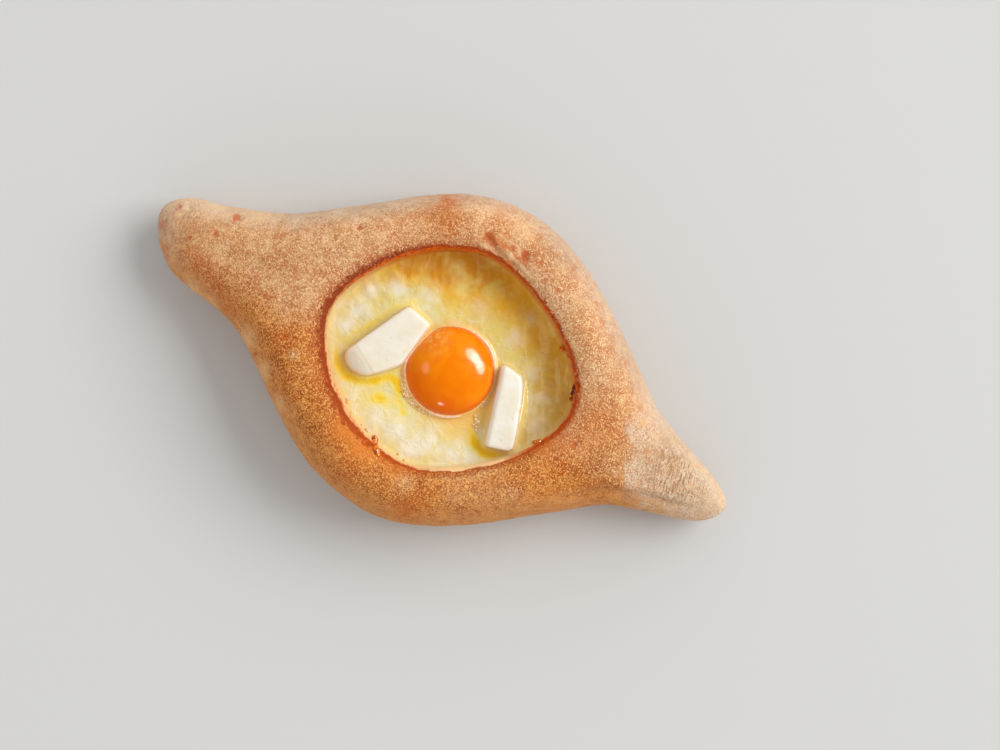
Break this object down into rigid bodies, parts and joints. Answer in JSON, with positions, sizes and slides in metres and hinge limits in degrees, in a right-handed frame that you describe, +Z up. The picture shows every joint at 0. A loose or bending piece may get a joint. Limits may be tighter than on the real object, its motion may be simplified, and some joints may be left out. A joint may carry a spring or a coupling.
{
  "type": "khachapuri",
  "caption": "Boat-shaped baked bread with two pointed horns and a rolled rim, filled with melted cheese and topped with an egg yolk and butter sticks.",
  "frame": {"origin": "on the surface it rests on, below the middle of the bread", "axes": "+X along the bread towards its sharper horn, +Y across it, +Z up"},
  "size_m": [0.262, 0.1394, 0.0419],
  "materials": {
    "crust": "matte, finely speckled golden brown, dusted with flour",
    "cheese": "soft, oily sheen",
    "yolk": "wet gloss",
    "butter": "smooth, slightly waxy"
  },
  "bodies": {
    "root": {"bread": "crust", "cheese_filling": "cheese", "egg_yolk": "yolk", "butter_stick_left": "butter", "butter_stick_right": "butter"}
  },
  "joints": []
}
